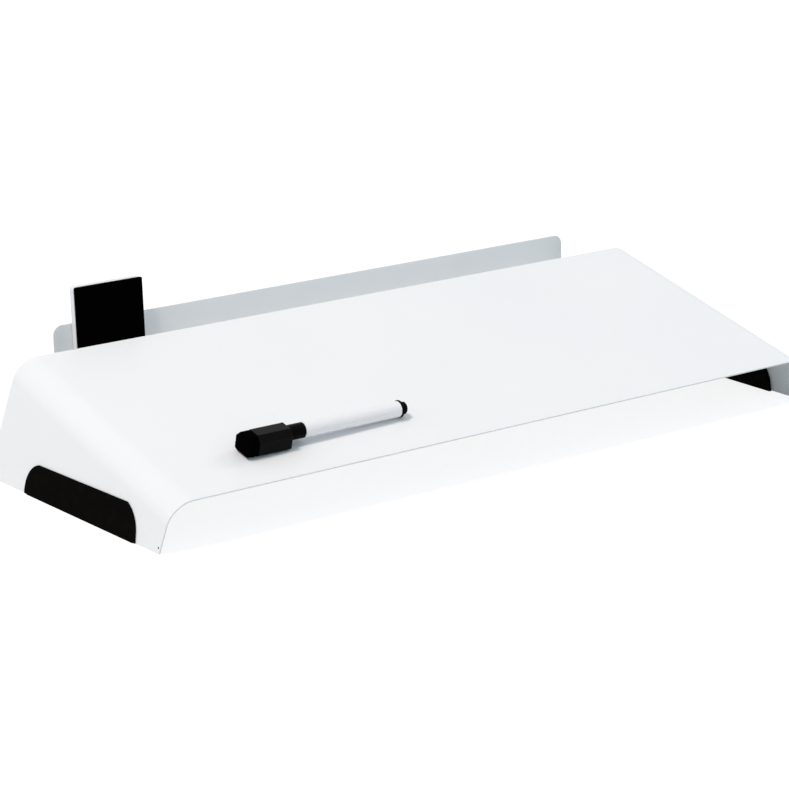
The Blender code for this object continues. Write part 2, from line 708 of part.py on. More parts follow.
def main():
    for old in list(bpy.data.objects):
        bpy.data.objects.remove(old, do_unlink=True)
    coats = {
        "sheet": material("white_coat", (0.86, 0.87, 0.88), 0.30),
        "left_foot": material("left_foot_rubber", (0.012, 0.012, 0.012), 0.75),
        "right_foot": material("right_foot_rubber", (0.012, 0.012, 0.012), 0.75),
        "eraser_body": material("eraser_plastic", (0.72, 0.73, 0.74), 0.45),
        "eraser_felt": material("eraser_black_felt", (0.006, 0.006, 0.006), 0.95),
        "eraser_magnet_left": material("left_disc_magnet", (0.30, 0.30, 0.31), 0.40, 1.0),
        "eraser_magnet_right": material("right_disc_magnet", (0.30, 0.30, 0.31), 0.40, 1.0),
        "cap_magnet": material("bar_magnet", (0.30, 0.30, 0.31), 0.40, 1.0),
        "cap": material("cap_plastic", (0.012, 0.012, 0.014), 0.35),
        "cap_felt": material("cap_black_felt", (0.006, 0.006, 0.006), 0.95),
        "section": material("section_plastic", (0.010, 0.010, 0.012), 0.35),
        "barrel": material("barrel_plastic", (0.82, 0.83, 0.85), 0.30),
        "plug": material("plug_plastic", (0.010, 0.010, 0.012), 0.40),
        "reservoir": material("ink_fibre", (0.60, 0.60, 0.62), 0.90),
        "nib": material("nib_fibre", (0.02, 0.02, 0.02), 0.85),
    }
    make_board(coats["sheet"])
    make_foot("foot_left", -1, coats["left_foot"])
    make_foot("foot_right", 1, coats["right_foot"])
    make_eraser(coats)
    make_marker(coats)


main()
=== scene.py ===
# %% [markdown]
# # A desktop whiteboard of one bent sheet
#
# This lesson dresses a small desk whiteboard. One steel sheet is bent into a sloping
# writing surface, two legs and a tray. Black rubber feet hold the legs, a square eraser
# stands in the tray, and a mini marker lies on the board.
# The measured model comes in as a fixed frame. Every new piece takes the place of one of
# its nodes, in the same metres and on the same spot, so it may be finer but never bigger.

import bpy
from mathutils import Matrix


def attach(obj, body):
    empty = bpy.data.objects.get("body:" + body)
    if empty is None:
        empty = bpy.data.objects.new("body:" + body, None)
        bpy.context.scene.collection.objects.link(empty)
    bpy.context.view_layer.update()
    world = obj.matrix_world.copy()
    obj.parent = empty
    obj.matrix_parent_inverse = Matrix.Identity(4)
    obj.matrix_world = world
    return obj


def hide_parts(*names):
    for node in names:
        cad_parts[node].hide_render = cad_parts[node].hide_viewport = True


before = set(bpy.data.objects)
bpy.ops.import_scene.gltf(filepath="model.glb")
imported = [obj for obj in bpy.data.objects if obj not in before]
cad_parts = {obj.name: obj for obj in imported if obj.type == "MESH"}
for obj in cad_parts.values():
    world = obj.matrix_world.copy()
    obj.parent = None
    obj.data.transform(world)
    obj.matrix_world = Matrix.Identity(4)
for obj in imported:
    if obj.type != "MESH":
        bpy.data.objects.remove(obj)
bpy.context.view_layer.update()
print("nodes of the measured model:", len(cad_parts))

# %% Bring in the tools
import math

import bmesh
import bpy
from mathutils import Matrix, Vector, noise

scene = bpy.context.scene
print("Blender", bpy.app.version_string)

# %% [markdown]
# ## The camera
#
# The photograph was taken from the front left, a little above the board. A camera is
# three square directions and a place: where it looks, what is to its right, and what is
# up. Building the matrix from the three angles keeps each angle readable, which a
# pasted matrix would not. The slight roll turns right and up about the line of sight.

# %% Set up the camera
TURN_RIGHT = 0.6078
LOOK_DOWN = 0.2699
ROLL = -0.0297
CAMERA_PLACE = Vector((-0.91659, -1.29275, 0.46757))
LENS = 114.22
SENSOR = 36
BOARD_MIDDLE = Vector((0, 0, 0.05))

ahead = Vector((math.sin(TURN_RIGHT) * math.cos(LOOK_DOWN),
                math.cos(TURN_RIGHT) * math.cos(LOOK_DOWN), -math.sin(LOOK_DOWN)))
level = Vector((math.cos(TURN_RIGHT), -math.sin(TURN_RIGHT), 0))
above = level.cross(ahead)
right = level * math.cos(ROLL) + above * math.sin(ROLL)
upward = above * math.cos(ROLL) - level * math.sin(ROLL)

camera = bpy.data.objects.new("camera", bpy.data.cameras.new("camera"))
camera.data.lens = LENS
camera.data.sensor_width = SENSOR
camera.matrix_world = Matrix.Translation(CAMERA_PLACE) @ Matrix(
    (right, upward, -ahead)).transposed().to_4x4()
scene.collection.objects.link(camera)
scene.camera = camera
print("camera", round((CAMERA_PLACE - BOARD_MIDDLE).length, 2), "m from the board")

# %% [markdown]
# ## Sums on sockets
#
# A material is a small tree of nodes, and most of the tree is arithmetic on numbers that
# change over the surface. Adding and linking each Math node by hand hides the sum. This
# class wraps one socket, and its operators add the Math nodes, so a line of Python reads
# as the sum it makes. The reflected forms let a plain number stand on the left.

# %% Wrap a socket
class Value:
    def __init__(self, mixer, socket):
        self.mixer = mixer
        self.socket = socket

    def sum_node(self, operation, first, second):
        return self.mixer.node("Math", {"operation": operation}, {0: first, 1: second})

    def __add__(self, other):
        return self.sum_node("ADD", self, other)

    def __radd__(self, other):
        return self.sum_node("ADD", other, self)

    def __sub__(self, other):
        return self.sum_node("SUBTRACT", self, other)

    def __rsub__(self, other):
        return self.sum_node("SUBTRACT", other, self)

    def __mul__(self, other):
        return self.sum_node("MULTIPLY", self, other)

    def __rmul__(self, other):
        return self.sum_node("MULTIPLY", other, self)


print("sums on sockets are ready")

# %% [markdown]
# ## One way to add a node
#
# Floor, sky and finishes are all trees of nodes, and every node in them comes from one
# method. It takes the node's type, its settings, which come first because they can change
# its sockets, and what its sockets take: a plain value, or the output of another node.

# %% Add nodes to a tree
class Mixer:
    def __init__(self, tree):
        self.tree = tree

    def node(self, kind, settings, sockets, output=0):
        made = self.tree.nodes.new("ShaderNode" + kind)
        for setting, value in settings.items():
            setattr(made, setting, value)
        for key, value in sockets.items():
            self.feed(made.inputs[key], value)
        return Value(self, made.outputs[output])

    def feed(self, socket, value):
        if isinstance(value, Value):
            self.tree.links.new(value.socket, socket)
        elif socket.type == "RGBA":
            socket.default_value = (*value, 1)
        else:
            socket.default_value = value

    def show(self, output, shader):
        """Make a shader what the tree's output node gives."""
        self.feed(self.tree.nodes[output].inputs["Surface"], shader)


print("one way to add a node is ready")

# %% [markdown]
# ## One material, one paint pot
#
# Every finish starts as the Principled shader. What is the same all over goes straight
# on the shader's own sockets, and what changes from place to place is made of nodes.
# Lengths in a pattern are written in metres, so the grain keeps its real size.

# %% Make a finish
GRAIN_ROUGHNESS = 0.55
COLOUR_A, COLOUR_B, COLOUR_OUT = 6, 7, 2


class Paint(Mixer):
    def __init__(self, name, **same_all_over):
        self.material = bpy.data.materials.new(name)
        self.material.use_nodes = True
        super().__init__(self.material.node_tree)
        self.shader = self.tree.nodes["Principled BSDF"]
        for socket, value in same_all_over.items():
            self.shader.inputs[socket.replace("_", " ")].default_value = value

    def grain(self, size, detail=2, stretch=(1, 1, 1), turn=(0, 0, 0)):
        """Cloudy noise from 0 to 1, its lumps about size metres across."""
        spread = tuple(1 / (size * share) for share in stretch)
        on_piece = self.node("TexCoord", {}, {}, "Object")
        place = self.node("Mapping", {"vector_type": "POINT"},
                          {"Vector": on_piece, "Rotation": turn, "Scale": spread})
        return self.node("TexNoise", {}, {"Vector": place, "Scale": 1, "Detail": detail,
                                          "Roughness": GRAIN_ROUGHNESS})

    def between(self, value, low, high):
        """The value spread out, so that low becomes 0 and high becomes 1."""
        return self.node("MapRange", {"clamp": True},
                         {"Value": value, "From Min": low, "From Max": high})

    def mix(self, share, first, second):
        """A colour between two, in Mix, because a Math node would turn it grey."""
        return self.node("Mix", {"data_type": "RGBA"},
                         {0: share, COLOUR_A: first, COLOUR_B: second}, COLOUR_OUT)

    def relief(self, height, depth):
        """Bumps of a depth in metres where the height runs from 0 to 1."""
        bumps = self.node("Bump", {}, {"Height": height, "Distance": depth, "Strength": 1})
        self.feed(self.shader.inputs["Normal"], bumps)

    def colour(self, value):
        self.feed(self.shader.inputs["Base Color"], value)

    def roughness(self, value):
        self.feed(self.shader.inputs["Roughness"], value)


print("paint pots are ready")

# %% [markdown]
# ## The floor and the white behind it
#
# The photograph's ground is pure white. More lamps would burn the white board out, so the
# white comes from what the camera sees: for camera, mirror and glass rays the floor glows
# and is only faintly lit, so that the board's shadow still shows on it. For all other
# rays it is a plain pale floor that throws light back up under the board.

# %% Lay the floor
FLOOR_SIZE = 30
FLOOR_COLOUR = (0.80, 0.80, 0.80)
FLOOR_GLOW = 0.84
FLOOR_SHADE = (0.30, 0.30, 0.31)
WHITE = (1, 1, 1)


def seen_directly(mixer):
    """1 for rays from the camera, a mirror or glass, and 0 for light on its way."""
    camera_ray = mixer.node("LightPath", {}, {}, "Is Camera Ray")
    glossy_ray = mixer.node("LightPath", {}, {}, "Is Glossy Ray")
    through_ray = mixer.node("LightPath", {}, {}, "Is Transmission Ray")
    return camera_ray + glossy_ray + through_ray


def floor_paint():
    paint = Paint("pale_floor")
    lit = paint.node("BsdfDiffuse", {}, {"Color": FLOOR_COLOUR})
    shaded = paint.node("BsdfDiffuse", {}, {"Color": FLOOR_SHADE})
    glow = paint.node("Emission", {}, {"Color": WHITE, "Strength": FLOOR_GLOW})
    seen = paint.node("AddShader", {}, {0: shaded, 1: glow})
    both = paint.node("MixShader", {}, {0: seen_directly(paint), 1: lit, 2: seen})
    paint.show("Material Output", both)
    paint.tree.nodes.remove(paint.shader)
    return paint.material


bm = bmesh.new()
bmesh.ops.create_grid(bm, x_segments=1, y_segments=1, size=FLOOR_SIZE / 2)
floor_mesh = bpy.data.meshes.new("floor")
bm.to_mesh(floor_mesh)
bm.free()
floor = bpy.data.objects.new("floor", floor_mesh)
floor_mesh.materials.append(floor_paint())
scene.collection.objects.link(floor)
print("floor", FLOOR_SIZE, "m wide")

# %% [markdown]
# ## The light
#
# The board's top and its left leg are nearly white, the tray's back wall is a cool grey,
# and the marker's shadow stays close under the barrel and leans to the right. The key lamp
# hangs high on the left and lights the slope most. A lower one on the right lights the
# flat but not the bend, which would else be a bright ridge, and a weak low one on the left
# lifts the leg. The shades get an even, faintly blue sky. The lamps are a little warm, so
# that sky and lamps together are white. Four lights that add up to the photograph are
# found by rendering each alone: light only adds, so their shares are a plain sum. The sky
# that lights is not the sky that is seen: the camera gets plain white.

# %% Light the sky
SKY = (0.76, 0.915, 1.0)
SKY_STRENGTH = 0.64

scene.world = bpy.data.worlds.new("studio")
scene.world.use_nodes = True
sky = Mixer(scene.world.node_tree)
sky.tree.nodes.remove(sky.tree.nodes["Background"])
fill = sky.node("Background", {}, {"Color": SKY, "Strength": SKY_STRENGTH})
backdrop = sky.node("Background", {}, {"Color": WHITE, "Strength": 1})
sky.show("World Output",
         sky.node("MixShader", {}, {0: seen_directly(sky), 1: fill, 2: backdrop}))
print("sky fill", SKY_STRENGTH)

# %% Hang the lamps
def hang_lamp(name, direction, distance, size, power, tint):
    lamp = bpy.data.lights.new(name, "AREA")
    lamp.shape = "DISK"
    lamp.size = size
    lamp.energy = power
    lamp.color = tint
    holder = bpy.data.objects.new(name, lamp)
    holder.location = Vector(direction).normalized() * distance
    holder.rotation_euler = Vector(direction).to_track_quat("Z", "Y").to_euler()
    scene.collection.objects.link(holder)
    print(name, power, "W")


hang_lamp("key_lamp", direction=(-0.48, -0.13, 0.87), distance=5.5, size=1.24,
          power=147, tint=(1.0, 0.86, 0.77))
hang_lamp("right_lamp", direction=(0.82, 0.0, 0.57), distance=8.0, size=2.4,
          power=82, tint=(1.0, 0.82, 0.72))
hang_lamp("left_lamp", direction=(-0.98, 0.0, 0.20), distance=8.0, size=2.4,
          power=26, tint=(1.0, 0.90, 0.82))
scene.view_settings.view_transform = "Standard"

# %% [markdown]
# ## From a bmesh to a finished piece
#
# Each piece is shaped in a bmesh and ends as an object at the origin, with its place in
# its mesh. Modifiers such as Solidify, Boolean and Bevel are worked out once and kept in
# the mesh, so that the piece is the same wherever it is read. A Boolean can leave two
# points on one spot, so dressing a piece welds them first. Weighted Normal keeps the
# broad flats flat in the light while the narrow rounded edges turn. A move doesn't turn
# the stored normals, so they are updated before faces are made to point outwards: a drill
# with its faces inwards would leave a plug where its hole should be.

# %% Turn a bmesh into an object
GAP = 0.0003
CUT = 0.0010
WELD = 0.000001


def object_of(name, bm):
    mesh = bpy.data.meshes.new(name)
    bm.to_mesh(mesh)
    bm.free()
    piece = bpy.data.objects.new(name, mesh)
    scene.collection.objects.link(piece)
    return piece


def placed(name, bm, place):
    """Set a closed shape in its place, its faces outwards, and make it an object."""
    bm.transform(place)
    bm.normal_update()
    bmesh.ops.recalc_face_normals(bm, faces=bm.faces)
    return object_of(name, bm)


def work_out(piece):
    """Put what the modifiers make into the piece's own mesh."""
    shaped = piece.evaluated_get(bpy.context.evaluated_depsgraph_get())
    mesh = bpy.data.meshes.new_from_object(shaped)
    piece.modifiers.clear()
    piece.data = mesh
    return piece


print("pieces end at the origin")

# %% Join, cut and soften pieces
def combine(piece, tool, operation):
    """Cut a tool out of a piece or join it on, and put the tool away."""
    step = piece.modifiers.new(operation, "BOOLEAN")
    step.operation = operation
    step.solver = "EXACT"
    step.object = tool
    work_out(piece)
    bpy.data.objects.remove(tool)


def drill(piece, radius, depth, place, segments):
    """Cut a round hole, its middle at a place and its axis along that place's Z."""
    bm = bmesh.new()
    bmesh.ops.create_cone(bm, cap_ends=True, segments=segments, radius1=radius,
                          radius2=radius, depth=depth)
    combine(piece, placed("drill", bm, place), "DIFFERENCE")


def soften(piece, width, segments, angle=35):
    """Round off every edge that is sharper than an angle in degrees."""
    step = piece.modifiers.new("soften", "BEVEL")
    step.width = width
    step.segments = segments
    step.limit_method = "ANGLE"
    step.angle_limit = math.radians(angle)
    step.use_clamp_overlap = True
    return work_out(piece)


def dress(piece, paint, body, slot, *nodes):
    """Give a piece its finish, its smooth light and the node that it stands for."""
    bm = bmesh.new()
    bm.from_mesh(piece.data)
    bmesh.ops.remove_doubles(bm, verts=bm.verts, dist=WELD)
    bm.to_mesh(piece.data)
    bm.free()
    piece.data.materials.clear()
    piece.data.materials.append(paint)
    piece.data.shade_smooth()
    steady = piece.modifiers.new("steady", "WEIGHTED_NORMAL")
    steady.keep_sharp = False
    steady.weight = 100
    work_out(piece)
    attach(piece, body)
    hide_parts(*nodes)
    print(piece.name, len(piece.data.polygons), "faces")


print("tools for joining, drilling and dressing are ready")

# %% [markdown]
# ## The steel sheet: one profile, pulled along the slope
#
# The real board is a single blank from a press brake: flat in the middle, bent down at
# both sides round a wide radius, with legs that splay outwards. It could be modelled as
# a box with its corners rounded, but the legs' slanted edges would be hard to get. Here
# the profile across the board is drawn with a spin and two pulls, mirrored, pulled along
# the slope, and then trimmed by planes, as the blank's edges are.

# %% Sizes of the sheet
SHEET = 0.0010
FLAT_WIDTH = 0.4662
SLOPE_LENGTH = 0.1904
SLOPE = math.radians(14.84)
FRONT_HEIGHT = 0.0320
SIDE_BEND = 0.0169
LEG_SPLAY = math.radians(7.4)
FRONT_RAKE = math.radians(4.0)
REAR_RAKE = math.radians(6.0)
EDGE_LIFT = 0.0003
MIDDLE_Y = 0.107340

SIN = math.sin(SLOPE)
COS = math.cos(SLOPE)
LEG_TURN = math.pi / 2 - LEG_SPLAY
on_slope = Matrix(((1, 0, 0, 0), (0, COS, -SIN, -MIDDLE_Y),
                   (0, SIN, COS, FRONT_HEIGHT), (0, 0, 0, 1)))
print("slope", round(math.degrees(SLOPE), 2), "degrees")

# %% Small helpers for pulling and trimming
def verts_in(geom):
    return [item for item in geom if isinstance(item, bmesh.types.BMVert)]


def edges_in(geom):
    return [item for item in geom if isinstance(item, bmesh.types.BMEdge)]


def pull_point(bm, point, move):
    """Draw a straight line from a point. Returns its far end."""
    far = bmesh.ops.extrude_vert_indiv(bm, verts=[point])["verts"]
    bmesh.ops.translate(bm, verts=far, vec=move)
    return far[0]


def swing_point(bm, point, centre, axis, angle, steps):
    """Draw an arc from a point. Returns its far end."""
    drawn = bmesh.ops.spin(bm, geom=[point], cent=centre, axis=axis, angle=angle, steps=steps)
    return verts_in(drawn["geom_last"])[0]


def pull_edges(bm, edges, move):
    """Pull a strip out of edges. Returns the strip's far edges."""
    grown = bmesh.ops.extrude_edge_only(bm, edges=edges)["geom"]
    bmesh.ops.translate(bm, verts=verts_in(grown), vec=move)
    return edges_in(grown)


def swing_edges(bm, edges, centre, angle, steps):
    """Swing a rounded strip out of edges, about a line along the board's width."""
    swung = bmesh.ops.spin(bm, geom=edges, cent=centre, axis=(1, 0, 0), angle=angle,
                           steps=steps)
    return edges_in(swung["geom_last"])


def everything(bm):
    return bm.verts[:] + bm.edges[:] + bm.faces[:]


def trim(bm, point, normal, keep_front=False, keep_back=False):
    """Slice along a plane, and drop one side if only the other is kept."""
    return bmesh.ops.bisect_plane(bm, geom=everything(bm), dist=WELD, plane_co=point,
                                  plane_no=normal, clear_inner=keep_front,
                                  clear_outer=keep_back)["geom_cut"]


print("pull, swing and trim are ready")

# %% Draw the profile and pull it along the slope
BEND_STEPS = 24
OVERRUN = 0.03
LEG_DRAWN = 0.1

sheet = bmesh.new()
bend_start = sheet.verts.new((FLAT_WIDTH / 2, 0, 0))
pull_point(sheet, bend_start, (-FLAT_WIDTH / 2, 0, 0))
bend_end = swing_point(sheet, bend_start, (FLAT_WIDTH / 2, 0, -SIDE_BEND), (0, 1, 0),
                       LEG_TURN, BEND_STEPS)
pull_point(sheet, bend_end, LEG_DRAWN * Vector((math.cos(LEG_TURN), 0, -math.sin(LEG_TURN))))
bmesh.ops.mirror(sheet, geom=everything(sheet), merge_dist=WELD, axis="X")
bmesh.ops.translate(sheet, verts=sheet.verts, vec=(0, -OVERRUN, 0))
pull_edges(sheet, sheet.edges[:], (0, SLOPE_LENGTH + 2 * OVERRUN, 0))
trim(sheet, (0, 0, 0), (0, 1, math.tan(FRONT_RAKE)), keep_front=True)
trim(sheet, (0, SLOPE_LENGTH, 0), (0, 1, math.tan(REAR_RAKE)), keep_back=True)
print("sheet profile pulled:", len(sheet.faces), "faces")

# %% [markdown]
# ## Freeing and folding the tray
#
# The tray is folded from the same blank, along the rear edge. At each end of the fold a
# narrow relief slot frees it, or the steel would tear there. The slots and the strip
# behind the fold are cut away, and then the fold's edge is swung and pulled round the
# tray's section: down, along the floor and up the back wall.

# %% Cut the relief slots
TRAY_HALF = 0.20775
TRAY_SLOT = 0.0269
TRAY_DEPTH = 0.0161
TRAY_RISE = 0.0092
TRAY_CORNER = 0.0065
REAR_FOLD = 0.0015
FOLD_OVER = 0.0014
FLOOR_FOLD = 0.0012
RELIEF_WIDTH = 0.0012
RELIEF_DEPTH = 0.0008
REAR_STEPS = 12
FLOOR_STEPS = 7
CORNER_STEPS = 10

fold_turn = math.pi / 2 + SLOPE
fold_start = SLOPE_LENGTH + FOLD_OVER - REAR_FOLD * math.tan(fold_turn / 2)
for side in (-1, 1):
    for x in (TRAY_HALF, TRAY_HALF + RELIEF_WIDTH):
        trim(sheet, (side * x, 0, 0), (1, 0, 0))
for y in (fold_start - RELIEF_DEPTH, fold_start):
    flat = [face for face in sheet.faces if abs(face.calc_center_median().z) < WELD]
    corners = {vert for face in flat for vert in face.verts}
    sides = {edge for face in flat for edge in face.edges}
    bmesh.ops.bisect_plane(sheet, geom=list(corners) + list(sides) + flat, dist=WELD,
                           plane_co=(0, y, 0), plane_no=(0, 1, 0))
waste = []
for face in sheet.faces:
    middle = face.calc_center_median()
    in_slot = TRAY_HALF < abs(middle.x) < TRAY_HALF + RELIEF_WIDTH
    if in_slot and middle.y > fold_start - RELIEF_DEPTH:
        waste.append(face)
    if abs(middle.x) < TRAY_HALF and middle.y > fold_start:
        waste.append(face)
bmesh.ops.delete(sheet, geom=waste, context="FACES")
print("relief slots and strip cut away:", len(waste), "faces")

# %% Fold the tray
sheet.transform(on_slope)
fold_line = []
line_point = on_slope @ Vector((0, fold_start, 0))
for edge in sheet.edges:
    on_line = all((v.co - line_point).yz.length < 10 * WELD for v in edge.verts)
    within = all(abs(v.co.x) < TRAY_HALF + WELD for v in edge.verts)
    if on_line and within:
        fold_line.append(edge)
rear_edge_z = FRONT_HEIGHT + SLOPE_LENGTH * SIN
tray_front = (SLOPE_LENGTH + FOLD_OVER) * COS - MIDDLE_Y
tray_back = tray_front + TRAY_SLOT
tray_floor = rear_edge_z - TRAY_DEPTH

rim = swing_edges(sheet, fold_line, on_slope @ Vector((0, fold_start, -REAR_FOLD)),
                  -fold_turn, REAR_STEPS)
drop = tray_floor + FLOOR_FOLD - rim[0].verts[0].co.z
rim = pull_edges(sheet, rim, (0, 0, drop))
rim = swing_edges(sheet, rim, (0, tray_front + FLOOR_FOLD, tray_floor + FLOOR_FOLD),
                  math.pi / 2, FLOOR_STEPS)
rim = pull_edges(sheet, rim, (0, TRAY_SLOT - 2 * FLOOR_FOLD, 0))
rim = swing_edges(sheet, rim, (0, tray_back - FLOOR_FOLD, tray_floor + FLOOR_FOLD),
                  math.pi / 2, FLOOR_STEPS)
rim = pull_edges(sheet, rim, (0, 0, TRAY_DEPTH + TRAY_RISE - FLOOR_FOLD))
print("tray folded, its back wall", round(1000 * (tray_back + MIDDLE_Y), 1), "mm back")

# %% Round the back wall's corners
ends = {v for edge in rim for v in edge.verts if abs(v.co.x) > TRAY_HALF - WELD}
bmesh.ops.bevel(sheet, geom=list(ends), offset=TRAY_CORNER, offset_type="OFFSET",
                segments=CORNER_STEPS, profile=0.5, affect="VERTICES", material=-1)
bmesh.ops.remove_doubles(sheet, verts=sheet.verts, dist=WELD)
bmesh.ops.recalc_face_normals(sheet, faces=sheet.faces)
top = max(sheet.faces, key=lambda face: face.calc_area())
if top.normal.z < 0:
    bmesh.ops.reverse_faces(sheet, faces=sheet.faces)
print("wall top", round(1000 * max(v.co.z for v in sheet.verts), 2), "mm")

# %% Give the sheet its thickness and cut the legs level
board = object_of("whiteboard_sheet", sheet)
thick = board.modifiers.new("thickness", "SOLIDIFY")
thick.thickness = SHEET
thick.offset = -1
thick.use_even_offset = True
thick.use_quality_normals = True
work_out(board)
bm = bmesh.new()
bm.from_mesh(board.data)
cut = trim(bm, (0, 0, EDGE_LIFT), (0, 0, 1), keep_front=True)
bmesh.ops.holes_fill(bm, edges=edges_in(cut), sides=0)
bmesh.ops.recalc_face_normals(bm, faces=bm.faces)
bm.to_mesh(board.data)
bm.free()
print("sheet thickness", 1000 * SHEET, "mm")

# %% [markdown]
# ## A leg's own directions
#
# The feet and the small holes are laid out on the legs, which splay and lean. So each
# leg gets a matrix of its own: along its lower edge, up its outer face, and outwards,
# from its front lower corner on the table. A foot drawn flat in these directions then
# lands on the leg by one multiplication, and the right leg mirrors the left one.

# %% Find a leg's directions
def leg_corner(start, rake):
    """Where the right leg's front or rear edge would meet the table."""
    fall = (FRONT_HEIGHT + start * SIN) / (COS - math.tan(rake) * SIN)
    run = (fall - SIDE_BEND * (1 - math.cos(LEG_TURN))) / math.tan(LEG_TURN)
    x = FLAT_WIDTH / 2 + SIDE_BEND * math.sin(LEG_TURN) + run
    return on_slope @ Vector((x, start + fall * math.tan(rake), -fall))


toe = leg_corner(0, FRONT_RAKE)
heel = leg_corner(SLOPE_LENGTH, REAR_RAKE)
along_leg = (heel - toe).normalized()
knee = on_slope @ Vector((FLAT_WIDTH / 2 + SIDE_BEND * math.sin(LEG_TURN), 0,
                          -SIDE_BEND * (1 - math.cos(LEG_TURN))))
up_leg = (knee - toe - along_leg * (knee - toe).dot(along_leg)).normalized()
out_leg = along_leg.cross(up_leg)
leg_axes = Matrix((along_leg, up_leg, out_leg)).transposed().to_4x4()
on_right_leg = Matrix.Translation(toe) @ leg_axes
mirror_x = Matrix.Scale(-1, 4, (1, 0, 0))
leg_places = {"left": mirror_x @ on_right_leg, "right": on_right_leg}
print("leg's lower edge", round(1000 * (heel - toe).length, 1), "mm")

# %% [markdown]
# ## The rubber feet
#
# A foot is a black D of rubber that is pushed up into a notch of the leg. A thin flange
# shows outside, a thicker one inside, and a narrower core fills the notch between them.
# Each layer is the same drawing at another inset: two arcs, cut off by the straight top,
# and open at the ground. The layers are pulled to their thickness, their rims rounded,
# and then joined into one moulding.

# %% Draw a foot's outline
FOOT_START = 0.0250
FOOT_LENGTH = 0.1314
FOOT_FRONT_HEIGHT = 0.0232
FOOT_REAR_HEIGHT = 0.0217
FOOT_FRONT_ROUND = 0.0182
FOOT_FRONT_TURN = math.radians(65)
FOOT_REAR_ROUND = 0.0214
FOOT_REAR_TURN = math.radians(78)
FOOT_LAP = 0.0030
FOOT_OUTER = 0.0004
FOOT_OUTER_LIFT = 0.0004
FOOT_INNER = 0.0020
FOOT_INNER_INSET = 0.0014
FOOT_OUTER_RIM = 0.00018
FOOT_INNER_RIM = 0.0006
FOOT_BELOW = 0.012
FOOT_STEPS = 16


def foot_arc(bm, end, height, radius, full_turn, inset, direction):
    """One end of the D: a line up from the ground and the arc above it."""
    reach = radius * math.sin(full_turn)
    turn = math.asin((reach - inset) / (radius - inset))
    middle = Vector((end + direction * radius, height - reach, 0))
    start = bm.verts.new(middle - Vector((direction * (radius - inset), 0, 0)))
    low = pull_point(bm, start, (0, -FOOT_BELOW, 0))
    high = swing_point(bm, start, middle, (0, 0, -direction), turn, FOOT_STEPS)
    return low, high


def foot_layer(place, inset, out, thickness, lift=0, rim=0):
    """One layer of a foot: its drawing, pulled outwards and cut at a height."""
    bm = bmesh.new()
    front_low, front_high = foot_arc(bm, FOOT_START, FOOT_FRONT_HEIGHT, FOOT_FRONT_ROUND,
                                     FOOT_FRONT_TURN, inset, 1)
    rear_low, rear_high = foot_arc(bm, FOOT_START + FOOT_LENGTH, FOOT_REAR_HEIGHT,
                                   FOOT_REAR_ROUND, FOOT_REAR_TURN, inset, -1)
    bm.edges.new((front_high, rear_high))
    bm.edges.new((front_low, rear_low))
    bmesh.ops.contextual_create(bm, geom=bm.edges[:])
    grown = bmesh.ops.extrude_face_region(bm, geom=bm.faces[:])["geom"]
    bmesh.ops.translate(bm, verts=verts_in(grown), vec=(0, 0, thickness))
    bmesh.ops.translate(bm, verts=bm.verts, vec=(0, 0, out))
    bm.transform(place)
    cut = trim(bm, (0, 0, lift), (0, 0, 1), keep_front=True)
    bmesh.ops.contextual_create(bm, geom=edges_in(cut))
    bmesh.ops.recalc_face_normals(bm, faces=bm.faces)
    layer = object_of("foot_layer", bm)
    if rim:
        soften(layer, rim, segments=3)
    return layer


print("foot", 1000 * FOOT_LENGTH, "mm long")

# %% [markdown]
# ## Cutting the notches and the hanging holes
#
# In each leg a notch takes the foot's core, a hair wider than the core itself. Near the
# front lower corner sits a hole no wider than a pencil lead: the sheet hung on it while
# its coat was baked. Both are cut through the finished thickness, as a punch would.

# %% Punch the legs
HANG_HOLE = 0.0006
HANG_BACK = 0.0006
HANG_UP = 0.0040

for place in leg_places.values():
    notch = foot_layer(place, inset=FOOT_LAP - GAP, out=-SHEET - CUT,
                       thickness=SHEET + 2 * CUT, lift=-2 * CUT)
    combine(board, notch, "DIFFERENCE")
    hole = place @ Matrix.Translation((HANG_BACK, HANG_UP, -SHEET / 2))
    drill(board, HANG_HOLE, 3 * SHEET, hole, segments=24)
print("notches and holes punched:", len(board.data.polygons), "faces")

# %% [markdown]
# ## White coat on steel
#
# The coat is baked on: pale, hard and satin, with the faint orange peel that sprayed
# coats dry with. A board that is wiped every day carries wide soft smears where the
# gloss is a touch duller. Both are too weak to name at first sight, and without them the
# board looks like paper. The waviness is real relief of a few microns, the smears change
# only the roughness, and a slow drift of the white keeps the broad flat alive. The faces
# inside the hanging holes are marked and coloured near black, as painted shade.

# %% Mix the white coat
STEEL_EDGE = 0.00012
# How far past a hanging hole's wall the painted shade of the hole reaches.
HOLE_SHADE_RIM = 0.00005


def white_coat():
    paint = Paint("white_coat_paint", Specular_IOR_Level=0.18)
    peel = paint.grain(0.0016, detail=1)
    cloud = paint.grain(0.09, detail=1)
    wipe = paint.grain(0.012, detail=3, stretch=(9, 1, 1), turn=(0, 0, math.radians(24)))
    coat = paint.mix(cloud, (0.860, 0.862, 0.872), (0.885, 0.884, 0.889))
    bare = paint.node("Attribute", {"attribute_name": "bare"}, {}, "Fac")
    # The marked faces in the hanging holes turn near black: painted shade for the holes' dark
    # inside.
    paint.colour(paint.mix(bare, coat, (0.020, 0.020, 0.021)))
    paint.roughness(0.34 + 0.10 * paint.between(wipe, 0.45, 0.70))
    paint.relief(peel, 0.000012)
    return paint.material


def mark_bare(piece):
    """Mark the faces inside the hanging holes, which get painted shade in the coat."""
    marks = piece.data.attributes.new("bare", "FLOAT", "FACE")
    for place in leg_places.values():
        to_hole = (place @ Matrix.Translation((HANG_BACK, HANG_UP, 0))).inverted()
        for face in piece.data.polygons:
            spot = to_hole @ face.center
            if spot.xy.length < HANG_HOLE + HOLE_SHADE_RIM and abs(spot.z) < 2 * SHEET:
                marks.data[face.index].value = 1


